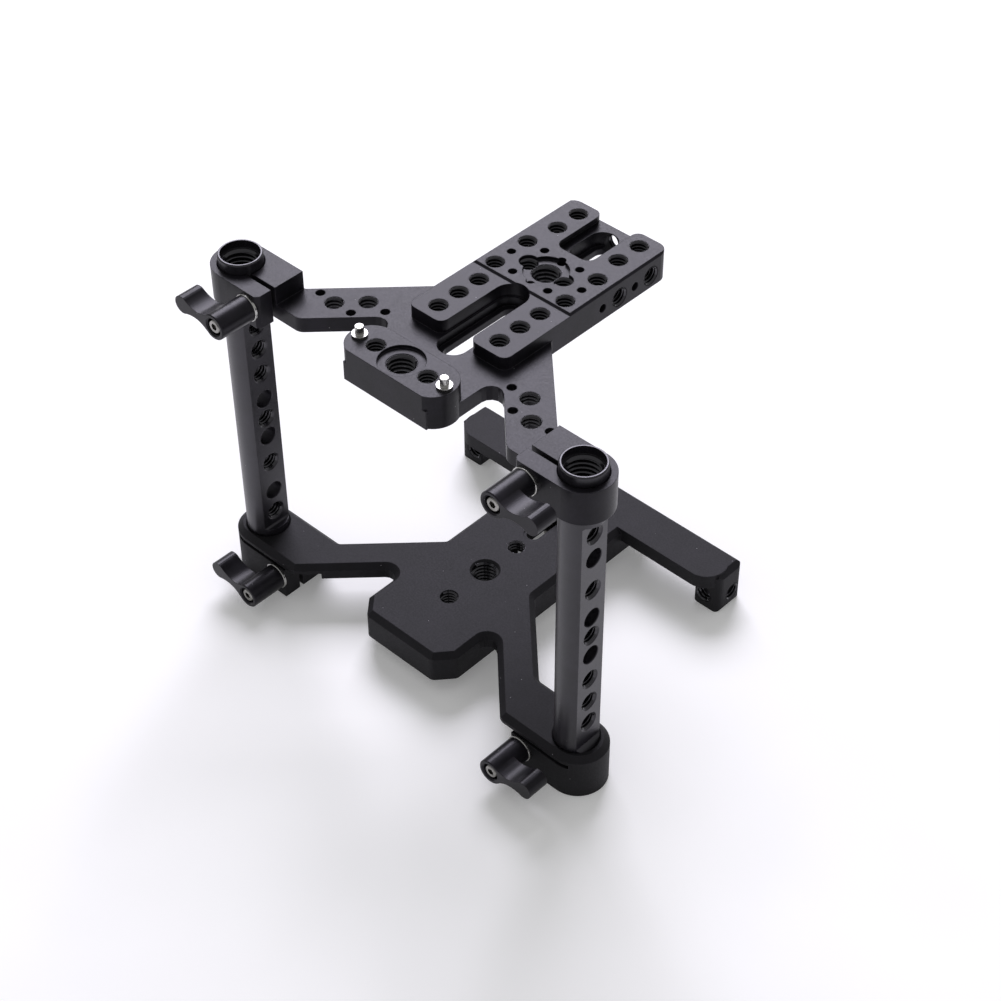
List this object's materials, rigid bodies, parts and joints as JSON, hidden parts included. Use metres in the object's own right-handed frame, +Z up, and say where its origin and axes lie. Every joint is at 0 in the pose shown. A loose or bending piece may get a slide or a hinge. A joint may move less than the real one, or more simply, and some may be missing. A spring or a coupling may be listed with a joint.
{
  "type": "camera cage",
  "caption": "Camera cage: base plate and top plate clamped on two drilled round rods by small levers, with threaded accessory holes and locating pins.",
  "frame": {"origin": "mouth of the tripod thread, centre of the base plank's underside", "axes": "+X to the right seen from the lens side, -Y towards the lens, +Z up along the rods"},
  "size_m": [0.1708, 0.1262, 0.1361],
  "materials": {
    "black_anodised": "black satin anodised",
    "stainless": "turned stainless steel"
  },
  "bodies": {
    "base": {"base_plate": "black_anodised", "lower_right_clamp_washer": "stainless", "lower_left_clamp_washer": "stainless"},
    "top": {"top_plate": "black_anodised", "front_locating_pins": "stainless", "upper_right_clamp_washer": "stainless", "upper_left_clamp_washer": "stainless"},
    "right_rod": {"right_rod": "black_anodised"},
    "left_rod": {"left_rod": "black_anodised"},
    "camera_screw_carrier": {"camera_screw_washer": "stainless"},
    "camera_screw": {"camera_screw": "stainless"},
    "upper_right_stud": {"upper_right_clamp_stud": "stainless", "upper_right_lever_screw": "stainless", "upper_right_lever_spring": "stainless"},
    "upper_right_lever": {"upper_right_lever": "black_anodised"},
    "upper_left_stud": {"upper_left_clamp_stud": "stainless", "upper_left_lever_screw": "stainless", "upper_left_lever_spring": "stainless"},
    "upper_left_lever": {"upper_left_lever": "black_anodised"},
    "lower_right_stud": {"lower_right_clamp_stud": "stainless", "lower_right_lever_screw": "stainless", "lower_right_lever_spring": "stainless"},
    "lower_right_lever": {"lower_right_lever": "black_anodised"},
    "lower_left_stud": {"lower_left_clamp_stud": "stainless", "lower_left_lever_screw": "stainless", "lower_left_lever_spring": "stainless"},
    "lower_left_lever": {"lower_left_lever": "black_anodised"}
  },
  "joints": [
    {"name": "top_plate_height", "type": "slide", "parent": "base", "child": "top", "axis": [0, 0, 1], "range_m": [-0.06, 0.0034]},
    {"name": "right_rod_height", "type": "slide", "parent": "base", "child": "right_rod", "axis": [0, 0, 1], "range_m": [0, 0.008]},
    {"name": "left_rod_height", "type": "slide", "parent": "base", "child": "left_rod", "axis": [0, 0, 1], "range_m": [0, 0.008]},
    {"name": "camera_screw_slide", "type": "slide", "parent": "base", "child": "camera_screw_carrier", "axis": [0, 1, 0], "range_m": [-0.015, 0.012]},
    {"name": "camera_screw_turn", "type": "hinge", "parent": "camera_screw_carrier", "child": "camera_screw", "pos_m": [0, 0.04, 0.008], "axis": [0, 0, 1], "continuous": true},
    {"name": "upper_right_clamp_turn", "type": "hinge", "parent": "top", "child": "upper_right_stud", "pos_m": [0.0605, -0.0449, 0.12055], "axis": [0, -1, 0], "range_deg": [0, 360]},
    {"name": "upper_right_lever_pull", "type": "slide", "parent": "upper_right_stud", "child": "upper_right_lever", "axis": [0, -1, 0], "range_m": [0, 0.0022], "stiffness_N_per_m": 800, "springref_m": -0.003},
    {"name": "upper_left_clamp_turn", "type": "hinge", "parent": "top", "child": "upper_left_stud", "pos_m": [-0.0605, -0.0449, 0.12055], "axis": [0, -1, 0], "range_deg": [0, 360]},
    {"name": "upper_left_lever_pull", "type": "slide", "parent": "upper_left_stud", "child": "upper_left_lever", "axis": [0, -1, 0], "range_m": [0, 0.0022], "stiffness_N_per_m": 800, "springref_m": -0.003},
    {"name": "lower_right_clamp_turn", "type": "hinge", "parent": "base", "child": "lower_right_stud", "pos_m": [0.059, -0.0454, 0.0021], "axis": [0, -1, 0], "range_deg": [0, 360]},
    {"name": "lower_right_lever_pull", "type": "slide", "parent": "lower_right_stud", "child": "lower_right_lever", "axis": [0, -1, 0], "range_m": [0, 0.0022], "stiffness_N_per_m": 800, "springref_m": -0.003},
    {"name": "lower_left_clamp_turn", "type": "hinge", "parent": "base", "child": "lower_left_stud", "pos_m": [-0.059, -0.0454, 0.0021], "axis": [0, -1, 0], "range_deg": [0, 360]},
    {"name": "lower_left_lever_pull", "type": "slide", "parent": "lower_left_stud", "child": "lower_left_lever", "axis": [0, -1, 0], "range_m": [0, 0.0022], "stiffness_N_per_m": 800, "springref_m": -0.003}
  ]
}
